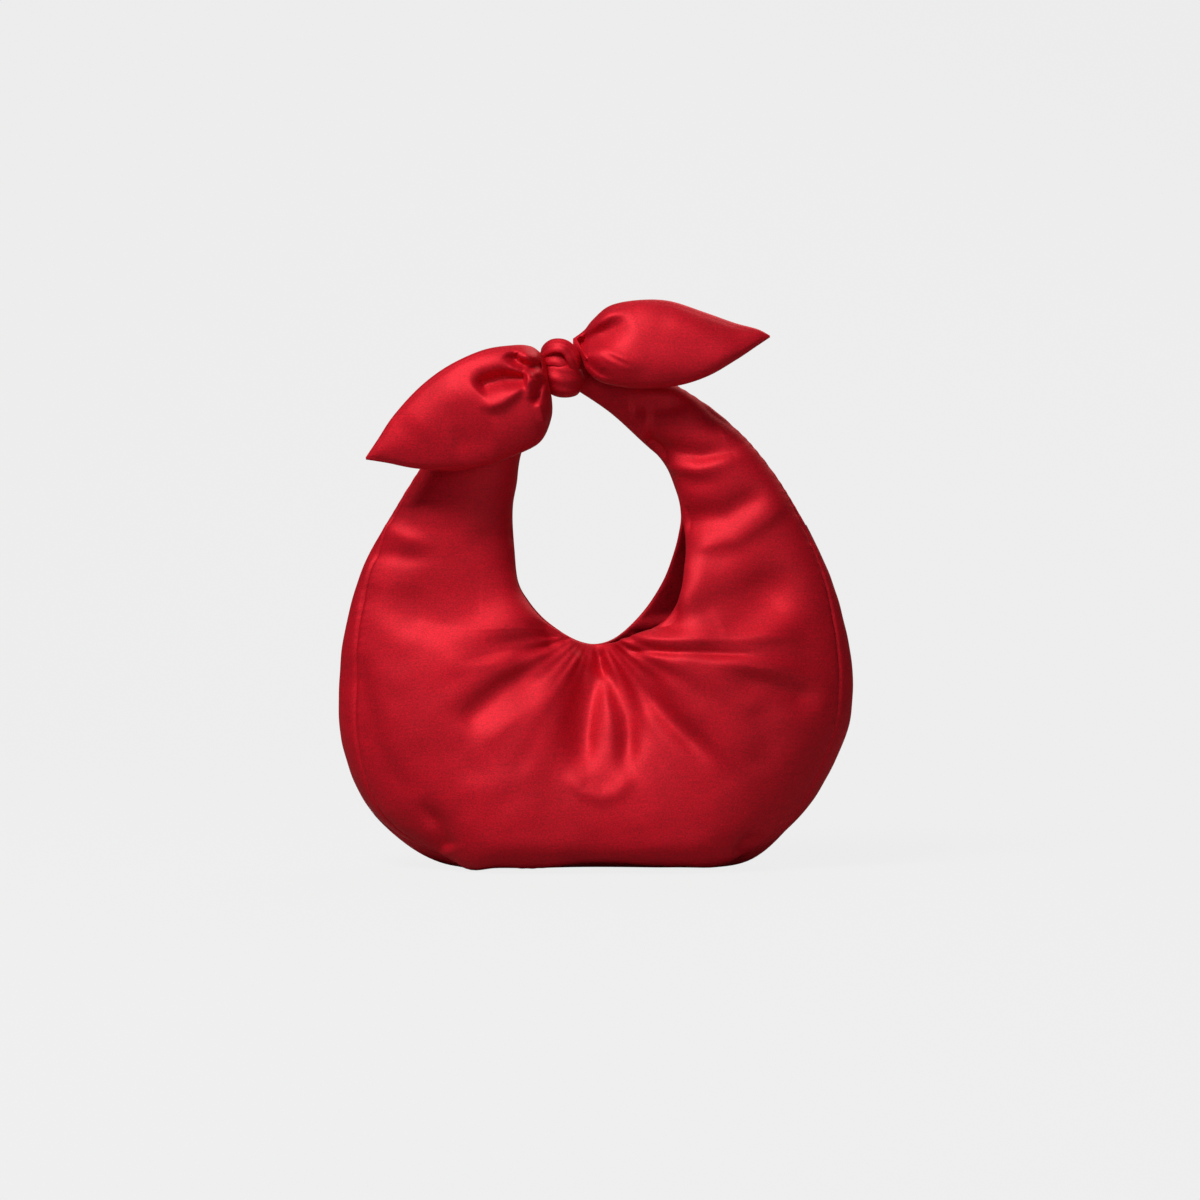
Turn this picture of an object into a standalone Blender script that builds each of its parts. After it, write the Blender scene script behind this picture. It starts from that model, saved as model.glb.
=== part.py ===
"""Knotted satin bag: a wadded body with an open mouth, two straps, a knot and two leaf-shaped tails.

X runs across the bag, -Y is its front and +Z is up. The origin is under the middle of the base, on the
surface that the bag stands on. Units are metres.
"""

import math

import bmesh
import bpy
import numpy as np
from mathutils import Vector

# Driving dimensions.
BODY_WIDTH = 0.320
BODY_HEIGHT = 0.220  # from the base to the ends of the mouth
BODY_DEPTH = 0.106
BASE_LENGTH = 0.180  # between the corners of its flat part; its pointed ends rise past them
BASE_DEPTH = 0.076
HOLE_WIDTH = 0.106
HOLE_BOTTOM = 0.1394  # height of the mouth's lowest point
HOLE_HEIGHT = 0.155
MOUTH_GAPE = 0.044  # between the rims, half way up the right side
LEFT_GAPE = 0.026  # the same on the left
RIM_DROOP = 0.0135  # of the front rim below the back one, on the right
STRAP_DEPTH = 0.042
STRAP_END_WIDTH = 0.022
STRAP_END_DEPTH = 0.015
KNOT_X = -0.020
KNOT_Y = -0.004
KNOT_HEIGHT = 0.311
KNOT_SIZE = (0.027, 0.034, 0.037)
LEFT_TAIL_LENGTH = 0.124  # from the knot's middle to the tip, across the bag
LEFT_TAIL_RISE = -0.055
LEFT_TAIL_WIDTH = 0.070
LEFT_TAIL_DEPTH = 0.030
RIGHT_TAIL_LENGTH = 0.1285
RIGHT_TAIL_RISE = 0.020
RIGHT_TAIL_WIDTH = 0.056
RIGHT_TAIL_DEPTH = 0.028
TAIL_PRESS = 0.002  # how far the left tail is pressed into the strap behind it
WADDING = 0.007  # thickness of a panel
LINING = 0.0010
SNAP_DIAMETER = 0.012
SNAP_THICKNESS = 0.0020
GAP = 0.0003  # between pieces that touch

# Resolution of the solids.
BODY_COLUMNS = 50
FRONT_ROWS = 11
BACK_ROWS = 7
TUBE_SEGMENTS = 20
TUBE_RINGS = 12

# The ribs of the body, from the left end of the mouth, down under the hole and up to its right end.
# Each rib: the hole's edge (x as a share of half the hole, height above its lowest point as a share of
# its rise to the mouth's ends) and the outline (x as a share of half the body's width, or of half the
# base's length on the ribs of the base, and height as a share of the body's).
RIBS = (
    (-0.99, 1.00, -0.794, 0.995),
    (-0.98, 0.70, -0.910, 0.845),
    (-0.93, 0.46, -0.988, 0.650),
    (-0.80, 0.30, -1.000, 0.477),
    (-0.62, 0.18, -0.962, 0.282),
    (-0.40, 0.075, -0.850, 0.140),
    (-0.24, 0.022, -1.022, 0.014),
    (-0.12, 0.005, -0.507, 0.000),
    (0.00, 0.000, 0.000, 0.000),
    (0.12, 0.010, 0.507, 0.000),
    (0.26, 0.040, 1.022, 0.018),
    (0.42, 0.125, 0.815, 0.155),
    (0.63, 0.275, 0.960, 0.345),
    (0.80, 0.470, 1.000, 0.500),
    (0.91, 0.680, 0.978, 0.660),
    (0.98, 0.840, 0.915, 0.820),
    (1.00, 1.000, 0.816, 0.980),
)
MIDDLE_RIB = 8
BASE_RIBS = range(6, 11)
BASE_ENDS = (4.7, 11.1)  # the ribs between which the base opens out
BASE_TAPER = 2.3  # in ribs, from a pointed end of the base to its full depth
BASE_SINK = 0.4  # the share of its depth at which the base's middle lies on the ground
SEAM_END = 7.4  # how many ribs from the middle the side seam is back on the outline
SEAM_SHIFT = 0.13  # how far it runs round on the front between, as a share of the section
BULGE = (0.40, 0.41, 0.47, 0.58, 0.68, 0.70, 0.59, 0.48, 0.46, 0.48, 0.59, 0.70, 0.68, 0.59, 0.50, 0.43, 0.40)
SAG = 0.38  # how far the wadding has sunk towards the base: 0 puts the bulge half way down
SAG_START = 3  # ribs from an end of the mouth at which the sag begins

# A fold on the front: its two ends (x and height, as shares of half the body's width and of its height),
# its half width as a share of the body's height, and its height as a share of the bulge. A height below
# zero is a valley.
FOLDS = (
    ("pleat, left valley", (0.000, 0.609), (-0.070, 0.300), 0.044, -0.31),
    ("pleat, right valley", (0.025, 0.600), (0.095, 0.330), 0.034, -0.27),
    ("pleat, middle ridge", (0.019, 0.473), (0.025, 0.264), 0.023, 0.05),
    ("right upper valley", (0.250, 0.709), (0.762, 0.827), 0.041, -0.13),
    ("right upper ridge", (0.112, 0.641), (0.825, 0.668), 0.036, 0.07),
    ("right middle valley", (0.188, 0.564), (0.750, 0.509), 0.036, -0.13),
    ("right lower ridge", (0.200, 0.500), (0.562, 0.273), 0.045, 0.07),
    ("left upper valley", (-0.100, 0.641), (-0.438, 0.573), 0.036, -0.13),
    ("left lower ridge", (-0.062, 0.595), (-0.450, 0.364), 0.045, 0.08),
    ("left side valley", (-0.875, 0.636), (-0.656, 0.182), 0.050, -0.07),
)

COLOURS = {
    "satin": ((0.42, 0.010, 0.028, 1.0), 0.34, 0.0),
    "lining": ((0.30, 0.006, 0.018, 1.0), 0.45, 0.0),
    "steel": ((0.62, 0.61, 0.60, 1.0), 0.25, 1.0),
}


def spline(values, s):
    """A smooth curve through evenly spaced values, read at s."""
    i = min(max(int(math.floor(s)), 0), len(values) - 2)
    f = s - i
    a = np.array(values[max(i - 1, 0)], float)
    b = np.array(values[i], float)
    c = np.array(values[i + 1], float)
    d = np.array(values[min(i + 2, len(values) - 1)], float)
    return b + 0.5 * f * (c - a + f * (2 * a - 5 * b + 4 * c - d + f * (3 * (b - c) + d - a)))


def rib_points():
    """The ribs in metres: the hole's edge and the outline of each."""
    points = []
    for k, (hole_x, hole_rise, outer_x, outer_z) in enumerate(RIBS):
        half_length = BASE_LENGTH / 2 if k in BASE_RIBS else BODY_WIDTH / 2
        hole_z = HOLE_BOTTOM + hole_rise * (BODY_HEIGHT - HOLE_BOTTOM)
        points.append((hole_x * HOLE_WIDTH / 2, hole_z, outer_x * half_length, outer_z * BODY_HEIGHT))
    return points


RIB_POINTS = rib_points()


def rib(s):
    """The hole's edge and the outline of the body at rib s, as points in the XZ plane."""
    hole_x, hole_z, outer_x, outer_z = spline(RIB_POINTS, s)
    return np.array((hole_x, hole_z)), np.array((outer_x, max(outer_z, 0.0)))


def smooth_step(x):
    x = min(max(x, 0.0), 1.0)
    return x * x * (3 - 2 * x)


def base_half_depth(s):
    """Half the depth of the base where rib s meets it, and next to nothing past the base's ends."""
    start, end = BASE_ENDS
    return GAP / 2 + BASE_DEPTH / 2 * smooth_step((s - start) / BASE_TAPER) * smooth_step((end - s) / BASE_TAPER)


def rim_half_gape(s):
    """How far each rim stands from the middle plane: snapped shut in the middle, sewn at the ends."""
    across = abs(s - MIDDLE_RIB) / MIDDLE_RIB
    shut = SNAP_THICKNESS + 1.5 * GAP
    gape = MOUTH_GAPE if s > MIDDLE_RIB else LEFT_GAPE
    open_part = gape / 2 * math.sin(math.pi * across) ** 1.5
    return GAP / 2 + (shut - GAP / 2) * math.cos(math.pi * across / 2) + open_part


def rim_droop(s):
    """How far the front rim hangs outward of the back one at rib s."""
    return RIM_DROOP * math.sin(math.pi * max(s - MIDDLE_RIB, 0.0) / MIDDLE_RIB)


def seam_place(s):
    """Where the side seam runs: 1 is the outline, and less is round on the front."""
    base_end = MIDDLE_RIB - BASE_ENDS[0]
    across = (abs(s - MIDDLE_RIB) - base_end) / (SEAM_END - base_end)
    return 1 - SEAM_SHIFT * math.sin(math.pi * min(max(across, 0.0), 1.0)) ** 2


def bulge(s):
    """The bulge of one side of the body past its straight line from rim to outline."""
    return BODY_DEPTH / 2 * float(spline(BULGE, s))


def bulge_share(s, t):
    """The share of rib s's bulge at t, from 0 at the rim to 1 at the outline."""
    from_end = min(s, 2 * MIDDLE_RIB - s) - SAG_START
    return math.sin(math.pi * t ** (1 + SAG * smooth_step(from_end / SAG_START)))


def distance_to_line(point, start, end):
    """How far a point is from the stretch of line between two others."""
    line = end - start
    along = (point - start).dot(line) / line.length_squared
    return (point - start - line * min(max(along, 0.0), 1.0)).length


def fold_factor(x, z):
    """The folds of the front at a point, as a factor on the bulge."""
    size = Vector((BODY_WIDTH / 2, BODY_HEIGHT))
    factor = 1.0
    for _, start, end, half_width, height in FOLDS:
        distance = distance_to_line(Vector((x, z)), Vector(start) * size, Vector(end) * size)
        factor += height * math.exp(-((distance / (half_width * BODY_HEIGHT)) ** 2))
    return factor


def body_point(s, v, inset):
    """A point of the body: v runs from 0 at the front rim, over 1 at the outline, to 2 at the back rim."""
    hole, outer = rib(s)
    inward = (outer - hole) / np.linalg.norm(outer - hole)
    front = v < 1
    hole = hole + inward * (inset + (rim_droop(s) if front else 0.0))
    outer = outer - inward * inset
    t = v if front else 2 - v
    share = (1 - math.cos(math.pi * t)) / 2
    x, z = hole + (outer - hole) * share
    straight = rim_half_gape(s) * (1 - share) + base_half_depth(s) * share
    depth = (bulge(s) - inset) * bulge_share(s, t)
    if front:
        return Vector((x, -straight - depth * fold_factor(x, z), z))
    return Vector((x, straight + depth, z))


def front_place(s, row):
    """The place along the section of a row of the front, from 0 at its rim to 1 at the side seam."""
    return row * (seam_place(s) - GAP / (2 * math.pi * bulge(s)))


def back_place(s, row):
    """The place along the section of a row of the back, from 0 at the side seam to 1 at its rim."""
    start = seam_place(s) + GAP / (2 * math.pi * bulge(s))
    return start + (2 - start) * row


def column_rib(column):
    """The rib of a column, from 0 to 1 round the body; columns stand closer together near the pleat."""
    across = 2 * column - 1
    return MIDDLE_RIB * (1 + math.copysign(abs(across) ** 1.2, across))


def slab(columns, rows, place):
    """A closed sheet: place turns a column, a row and a side, each from 0 to 1, into a point."""
    bm = bmesh.new()
    bmesh.ops.create_grid(bm, x_segments=columns, y_segments=rows, size=1.0)
    extruded = bmesh.ops.extrude_face_region(bm, geom=bm.faces[:])["geom"]
    bmesh.ops.translate(bm, verts=[g for g in extruded if isinstance(g, bmesh.types.BMVert)], vec=(0, 0, 1))
    for vertex in bm.verts:
        vertex.co = place((vertex.co.x + 1) / 2, (vertex.co.y + 1) / 2, vertex.co.z)
    bmesh.ops.recalc_face_normals(bm, faces=bm.faces[:])
    return bm


def tube(place):
    """A closed tube with flat ends: place turns a length from 0 to 1, an angle and a radius into a point."""
    bm = bmesh.new()
    bmesh.ops.create_uvsphere(bm, u_segments=TUBE_SEGMENTS, v_segments=TUBE_RINGS + 1, radius=1.0)
    for vertex in bm.verts:
        level = math.acos(min(max(vertex.co.z, -1.0), 1.0)) / math.pi * (TUBE_RINGS + 1)
        along = min(max((level - 1) / (TUBE_RINGS - 1), 0.0), 1.0)
        at_pole = level < 0.5 or level > TUBE_RINGS + 0.5
        vertex.co = place(along, math.atan2(vertex.co.y, vertex.co.x), 0.0 if at_pole else 1.0)
    bmesh.ops.recalc_face_normals(bm, faces=bm.faces[:])
    return bm


def material(name):
    colour, roughness, metallic = COLOURS[name]
    made = bpy.data.materials.get(name) or bpy.data.materials.new(name)
    made.use_nodes = True
    shader = made.node_tree.nodes["Principled BSDF"]
    shader.inputs["Base Color"].default_value = colour
    shader.inputs["Roughness"].default_value = roughness
    shader.inputs["Metallic"].default_value = metallic
    made.diffuse_color = colour
    return made


def finished(name, bm, collection, finish):
    """Turn a bmesh into a named object, with its faces pointing out."""
    if bm.calc_volume(signed=True) < 0:
        bmesh.ops.reverse_faces(bm, faces=bm.faces[:])
    bmesh.ops.triangulate(bm, faces=bm.faces[:])
    mesh = bpy.data.meshes.new(name)
    bm.to_mesh(mesh)
    bm.free()
    mesh.shade_smooth()
    mesh.set_sharp_from_angle(angle=math.radians(50))
    piece = bpy.data.objects.new(name, mesh)
    collection.objects.link(piece)
    piece.data.materials.append(material(finish))
    return piece


def cut_clear(piece, neighbour, cutters):
    """Cut a soft piece back from its neighbour, so that it lies against it with the usual gap."""
    cutter = neighbour.copy()
    cutter.data = neighbour.data.copy()
    cutter.modifiers.clear()
    cutter.name = piece.name + "_clear_of_" + neighbour.name
    for vertex in cutter.data.vertices:
        vertex.co = vertex.co + vertex.normal * GAP
    cutters.objects.link(cutter)
    cutter.hide_render = True
    cutter.display_type = "WIRE"
    cut = piece.modifiers.new(cutter.name, "BOOLEAN")
    cut.operation = "DIFFERENCE"
    cut.object = cutter


def make_body(parts):
    def front(column, row, side):
        s = column_rib(column)
        return body_point(s, front_place(s, row), side * WADDING)

    def back(column, row, side):
        s = column_rib(column)
        return body_point(s, back_place(s, row), side * WADDING)

    finished("front_panel", slab(BODY_COLUMNS, FRONT_ROWS, front), parts, "satin")
    finished("back_panel", slab(BODY_COLUMNS, BACK_ROWS, back), parts, "satin")


def make_lining(parts):
    """The lining follows both walls, and one row of it crosses the base between them."""
    rows = FRONT_ROWS + 1 + BACK_ROWS

    def place(column, row, side):
        s = column_rib(column)
        inset = WADDING + GAP + side * LINING
        at_row = round(row * rows)
        if at_row <= FRONT_ROWS:
            return body_point(s, front_place(s, at_row / FRONT_ROWS), inset)
        return body_point(s, back_place(s, (at_row - FRONT_ROWS - 1) / BACK_ROWS), inset)

    finished("lining", slab(BODY_COLUMNS, rows, place), parts, "lining")


def make_base(parts):
    """A pad between the lower edges of the two walls: it meets them all along, and sinks to the ground."""
    ribs = [column_rib(c / BODY_COLUMNS) for c in range(BODY_COLUMNS + 1)]
    ribs = [s for s in ribs if base_half_depth(s) > 3 * GAP]

    def place(column, row, side):
        s = ribs[round(column * (len(ribs) - 1))]
        hole, outer = rib(s)
        inward = (outer - hole) / np.linalg.norm(outer - hole)
        x, z = outer - inward * side * WADDING
        across = 2 * row - 1
        sunk = smooth_step(base_half_depth(s) / (BASE_DEPTH * BASE_SINK)) * (1 - across**2)
        return Vector((x, across * (base_half_depth(s) - GAP), z if side else z * (1 - sunk)))

    finished("base_panel", slab(len(ribs) - 1, 4, place), parts, "satin")


def make_strap(name, at_rib, step, parts):
    """A wadded tube from one end of the mouth up to the knot; step is the way past that rib."""
    hole, outer = rib(at_rib)
    hole_before, outer_before = rib(at_rib - step)
    knot = np.array((KNOT_X, KNOT_HEIGHT))
    side = np.sign(hole[0])
    end_width = np.array((-side * 0.35, -1.0)) / math.hypot(0.35, 1.0) * STRAP_END_WIDTH / 2
    hole_rise = HOLE_BOTTOM + HOLE_HEIGHT - hole[1]
    outer_rise = KNOT_HEIGHT - outer[1]
    inner = (hole, hole * (0.93, 1) + (0, hole_rise * 0.36), hole * (0.64, 1) + (0, hole_rise * 0.66),
             knot + end_width)
    outside = (outer, outer * (0.80, 1) + (0, outer_rise * 0.45), outer * (0.46, 1) + (0, outer_rise * 0.87),
               knot - end_width)
    half_depth = (bulge(at_rib), STRAP_DEPTH * 0.46, STRAP_DEPTH * 0.40, STRAP_END_DEPTH / 2)
    start_hole = (hole - hole_before) / np.linalg.norm(hole - hole_before) * GAP
    start_outer = (outer - outer_before) / np.linalg.norm(outer - outer_before) * GAP

    def place(along, angle, radius):
        reach = along * (len(inner) - 1)
        fade = max(0.0, 1 - reach)
        low = spline(inner, reach) + start_hole * fade
        high = spline(outside, reach) + start_outer * fade
        depth = float(spline(half_depth, reach)) * radius
        x, z = (low + high) / 2 - (high - low) / 2 * math.cos(angle) * radius
        y = (KNOT_Y + KNOT_SIZE[1] / 8) * along**2
        return Vector((x, y - depth * math.sin(angle), z))

    return finished(name, tube(place), parts, "satin")


def make_knot(parts):
    """Two turns of strap pulled tight: a ball whose waist is drawn in along a slanting groove."""

    def place(along, angle, radius):
        level = math.pi * (0.93 - 0.86 * along)
        ring = math.sin(level) * radius
        ball = Vector((ring * math.cos(angle), ring * math.sin(angle), math.cos(level)))
        groove = math.exp(-(((ball.z + 0.12 - 0.5 * ball.x) / 0.22) ** 2))
        swell = 1 - 0.16 * groove
        size = Vector(KNOT_SIZE) / 2
        return Vector((KNOT_X, KNOT_Y, KNOT_HEIGHT)) + Vector(
            (ball.x * size.x * swell, ball.y * size.y * swell, ball.z * size.z)
        )

    return finished("knot", tube(place), parts, "satin")


def make_tail(name, middle, width, depth, parts):
    """A wadded leaf along a middle line, from inside the knot to a pointed tip."""
    half_widths = (0.25, 0.82, 1.00, 0.95, 0.77, 0.45, 0.04)
    half_depths = (0.45, 0.85, 1.00, 0.98, 0.82, 0.52, 0.10)

    def place(along, angle, radius):
        reach = along * (len(middle) - 1)
        centre = Vector(spline(middle, reach))
        ahead = Vector(spline(middle, min(reach + 0.05, len(middle) - 1)))
        behind = Vector(spline(middle, max(reach - 0.05, 0)))
        heading = (ahead - behind).normalized()
        across = heading.cross(Vector((0, 1, 0))).normalized()
        part = along * (len(half_widths) - 1)
        half_width = float(spline(half_widths, part)) * width / 2 * radius
        half_depth = float(spline(half_depths, part)) * depth / 2 * radius
        return centre + across * half_width * math.cos(angle) + Vector((0, 1, 0)) * half_depth * math.sin(angle)

    return finished(name, tube(place), parts, "satin")


def tail_line(side, length, rise, shape, forward):
    """The middle line of a tail, from inside the knot to its tip; rise is the tip's height over the knot."""
    line = []
    start = KNOT_Y - KNOT_SIZE[1] / 8
    for k, height in enumerate(shape):
        share = k / (len(shape) - 1)
        y = start + (-forward - start) * min(share * 3, 1.0)
        line.append((KNOT_X + side * length * share, y, KNOT_HEIGHT + rise * height))
    return tuple(line)


def make_snap(name, side, parts):
    """One half of the hidden closure, on the inner face of its rim, under the middle of the mouth."""
    bm = bmesh.new()
    bmesh.ops.create_cone(bm, cap_ends=True, segments=24, radius1=SNAP_DIAMETER / 2,
                          radius2=SNAP_DIAMETER / 2, depth=SNAP_THICKNESS)
    snap = finished(name, bm, parts, "steel")
    snap.rotation_euler = (math.pi / 2, 0, 0)
    snap.location = (0, side * (GAP + SNAP_THICKNESS) / 2, HOLE_BOTTOM - SNAP_DIAMETER / 2 - GAP)


def main():
    for old in list(bpy.data.objects):
        bpy.data.objects.remove(old, do_unlink=True)
    parts = bpy.data.collections.new("knotted_satin_bag")
    cutters = bpy.data.collections.new("cutters")
    bpy.context.scene.collection.children.link(parts)
    bpy.context.scene.collection.children.link(cutters)
    make_body(parts)
    make_lining(parts)
    make_base(parts)
    left_strap = make_strap("left_strap", 0, -1, parts)
    right_strap = make_strap("right_strap", len(RIBS) - 1, 1, parts)
    knot = make_knot(parts)
    left_forward = (STRAP_DEPTH + LEFT_TAIL_DEPTH) / 2 - TAIL_PRESS
    left_line = tail_line(-1, LEFT_TAIL_LENGTH, LEFT_TAIL_RISE, (0.0, 0.31, 0.54, 0.74, 1.0), left_forward)
    right_line = tail_line(1, RIGHT_TAIL_LENGTH, RIGHT_TAIL_RISE, (0.0, 0.72, 0.77, 0.79, 1.0), STRAP_DEPTH / 2)
    left_tail = make_tail("left_tail", left_line, LEFT_TAIL_WIDTH, LEFT_TAIL_DEPTH, parts)
    right_tail = make_tail("right_tail", right_line, RIGHT_TAIL_WIDTH, RIGHT_TAIL_DEPTH, parts)
    make_snap("front_snap", -1, parts)
    make_snap("back_snap", 1, parts)
    for piece in (left_strap, right_strap, left_tail, right_tail):
        cut_clear(piece, knot, cutters)
    cut_clear(left_tail, left_strap, cutters)
    cut_clear(right_tail, right_strap, cutters)


main()
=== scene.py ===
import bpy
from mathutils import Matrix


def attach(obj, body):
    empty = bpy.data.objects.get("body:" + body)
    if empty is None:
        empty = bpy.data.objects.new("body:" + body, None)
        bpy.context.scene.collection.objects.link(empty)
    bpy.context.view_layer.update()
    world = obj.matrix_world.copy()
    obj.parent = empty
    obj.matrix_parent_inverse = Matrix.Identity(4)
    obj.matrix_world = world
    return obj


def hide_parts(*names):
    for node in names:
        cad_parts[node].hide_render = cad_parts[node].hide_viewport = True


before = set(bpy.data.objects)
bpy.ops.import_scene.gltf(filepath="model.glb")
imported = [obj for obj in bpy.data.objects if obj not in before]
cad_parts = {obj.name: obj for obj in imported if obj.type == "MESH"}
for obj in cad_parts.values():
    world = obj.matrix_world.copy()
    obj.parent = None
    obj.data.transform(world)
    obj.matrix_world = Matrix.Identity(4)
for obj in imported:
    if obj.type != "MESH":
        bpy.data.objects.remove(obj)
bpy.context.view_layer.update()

import math
import bmesh
import bpy
import numpy as np
from mathutils import Vector

mm = 0.001
scene = bpy.context.scene

# The photograph's view: where the camera stands and what lies in the middle of the picture
view = {
    "middle": (2.9 * mm, 0.0, 166.9 * mm),
    "width": 750 * mm,     # across the picture, at the bag
    "lens": 135.0,
    "sensor": 36.0,
    "elevation": 2.5,
}
distance = view["width"] * view["lens"] / view["sensor"]
tilt = math.radians(view["elevation"])
cameraPlace = Vector((
    view["middle"][0],
    -distance * math.cos(tilt),
    view["middle"][2] + distance * math.sin(tilt),
))


# Shared tools

def splineAt(table, s):
    i = np.clip(np.floor(s).astype(int), 0, len(table) - 2)
    f = (s - i)[:, None]
    a, b, c, d = (table[np.clip(i + k, 0, len(table) - 1)] for k in (-1, 0, 1, 2))
    return b + 0.5 * f * (c - a + f * (2 * a - 5 * b + 4 * c - d + f * (3 * (b - c) + d - a)))


def smoothStep(x):
    x = np.clip(x, 0, 1)
    return x * x * (3 - 2 * x)


# A point's place on the plane through the bag's middle, as the photograph shows it
def asSeen(points):
    scale = -cameraPlace.y / (points[:, 1] - cameraPlace.y)
    x = cameraPlace.x + (points[:, 0] - cameraPlace.x) * scale
    z = cameraPlace.z + (points[:, 2] - cameraPlace.z) * scale
    return np.stack((x, z), axis=1)


# One fold, in mm: the line it follows, the half widths left and right of that line, and its height, which
# is below zero for a valley. sharp goes from 2, soft, to 1, a crease. fade gives the shares of the length
# over which the ends die away, and spread how much wider the far end is than the near one.
def foldHeight(at, fold):
    line = np.array(fold["line"], float) * mm
    sharp = fold.get("sharp", 2.0)
    fades = fold.get("fade", (0.25, 0.25))
    widths = fold["width"] if isinstance(fold["width"], tuple) else (fold["width"], fold["width"])
    spread = fold.get("spread", 1.0)
    lengths = np.linalg.norm(np.diff(line, axis=0), axis=1)
    total = lengths.sum()
    best = np.full(len(at), 1e9)
    along = np.zeros(len(at))
    side = np.ones(len(at))
    walked = 0.0
    for start, end, length in zip(line[:-1], line[1:], lengths):
        direction = (end - start) / length
        share = np.clip((at - start) @ direction, 0, length)
        offset = at - start - share[:, None] * direction
        gap = np.linalg.norm(offset, axis=1)
        nearer = gap < best
        best = np.where(nearer, gap, best)
        along = np.where(nearer, (walked + share) / total, along)
        side = np.where(nearer, np.sign(direction[0] * offset[:, 1] - direction[1] * offset[:, 0]), side)
        walked += length
    width = np.where(side > 0, widths[0], widths[1]) * mm * (1 + (spread - 1) * along)
    fade = smoothStep(along / max(fades[0], 1e-6)) * smoothStep((1 - along) / max(fades[1], 1e-6))
    return fold["height"] * mm * fade * np.exp(-((best / width) ** sharp))


def foldsAt(at, folds):
    return sum((foldHeight(at, fold) for fold in folds), np.zeros(len(at)))


# Slow, uneven swell of the wadding
def unevenness(points, size, seed):
    total = np.zeros(len(points))
    rng = np.random.default_rng(seed)
    for k in range(9):
        direction = rng.normal(size=3)
        direction /= np.linalg.norm(direction)
        wave = size * rng.uniform(0.7, 1.7)
        total += np.sin(points @ direction * 2 * math.pi / wave + rng.uniform(0, 2 * math.pi))
    return total / 9 ** 0.5


# Grid whose points are placed by a function of two shares, 0 to 1
def gridPiece(name, columns, rows, place, merge=0.0, flip=False):
    bm = bmesh.new()
    bmesh.ops.create_grid(bm, x_segments=columns, y_segments=rows, size=1)
    bm.verts.ensure_lookup_table()
    co = np.array([v.co[:2] for v in bm.verts])
    across, up = (co[:, 0] + 1) / 2, (co[:, 1] + 1) / 2
    points, cloth = place(across, up)
    uvLayer = bm.loops.layers.uv.new("clothUv")
    for face in bm.faces:
        for loop in face.loops:
            loop[uvLayer].uv = cloth[loop.vert.index]
    for vert, point in zip(bm.verts, points):
        vert.co = point
    if flip:
        bmesh.ops.reverse_faces(bm, faces=bm.faces[:])
    if merge:
        bmesh.ops.remove_doubles(bm, verts=bm.verts[:], dist=merge)
        bmesh.ops.recalc_face_normals(bm, faces=bm.faces[:])
        if bm.calc_volume(signed=True) < 0:
            bmesh.ops.reverse_faces(bm, faces=bm.faces[:])
    mesh = bpy.data.meshes.new(name)
    bm.to_mesh(mesh)
    bm.free()
    mesh.shade_smooth()
    piece = bpy.data.objects.new(name, mesh)
    scene.collection.objects.link(piece)
    return piece


# The body's form

# One line per rib, from the left of the knot down under the hole and up to its right, in mm:
# the hole's edge x and z, the outline's x and z, and the half depth of the filling between them
ribTable = np.array([
    (-27, 293, -31, 311, 8),
    (-36.5, 278, -62, 300, 15),
    (-45.5, 259, -92, 274, 19.5),
    (-48.6, 240, -110, 247.5, 21),
    (-51.6, 222, -127.5, 219, 21.2),
    (-50.4, 197, -144.5, 189, 21.5),
    (-48.2, 178, -154.5, 158, 23.2),
    (-41.8, 166, -159.5, 124, 27),
    (-33, 155.5, -158, 76, 33.5),
    (-22, 147, -137.2, 31, 38.5),
    (-13, 142, -93, 8.8, 32.5),
    (-6, 139.8, -45, 2.8, 25.4),
    (0, 139.3, 0, 6.2, 24.4),
    (7, 140.5, 47, 4.3, 25.4),
    (14.5, 144, 97, 11.0, 32.5),
    (24, 152, 131, 35.5, 38.5),
    (34, 163.8, 155.8, 79, 33),
    (43, 179, 161.4, 110, 26.6),
    (48.5, 194, 158.4, 141, 23.6),
    (52, 208, 148, 178.5, 22),
    (53.3, 221, 131.5, 214.5, 21.2),
    (49.5, 236.5, 112.5, 245, 21.5),
    (42, 252.5, 90, 272, 20.5),
    (26.5, 267.5, 54, 300, 17),
    (8, 284, 20, 312, 12),
    (-14, 298.5, -12, 315, 6),
]) * mm
firstRib = -4
middleRib = 8       # at the pleat
mouthEnd = 16       # the mouth opens between rib 0 and this one; the straps go on from both

body = {
    "baseEnds": (4.7, 11.1),    # the ribs between which the base opens out
    "baseTaper": 2.3,           # over how many ribs it does so
    "baseDepth": 76 * mm,
    "corners": ((6.32, 0.27, 4.6 * mm), (9.52, 0.32, 3.6 * mm)),   # rib, width and drop of the base's corners
    "leftGape": 18 * mm,
    "rightGape": 44 * mm,
    "gapePower": 1.8,
    "shut": 2.4 * mm,           # half the gap that is left where the rims are closed
    "seamShift": 0.19,          # how far round to the front the side seams sit
    "seamRibs": (1.6, 10.0),    # how many ribs from the middle the shift starts and ends
    "seamCurve": (0.8, 1.3),    # where between those it is greatest, and how pointed it is there
    "rimRadius": 1.9 * mm,
    "sag": 0.38,                # how far the filling has sunk towards the base
    "sagRibs": (3, 13),         # the ribs between which it has
    "sagTaper": 3,              # over how many ribs it comes in
    # how far the front rim hangs down at the ribs from the middle to the right end of the mouth
    "rightDroop": np.array([0, 0.6, 2.2, 6.5, 12.8, 12.0, 8.2, 4.2, 0.0])[:, None] * mm,
}


def rimGape(s):
    across = np.clip(abs(s - middleRib) / middleRib, 0, 1)
    wide = np.where(s > middleRib, body["rightGape"], body["leftGape"])
    return body["shut"] * np.cos(math.pi * across / 2) + wide / 2 * np.sin(math.pi * across) ** body["gapePower"]


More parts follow.
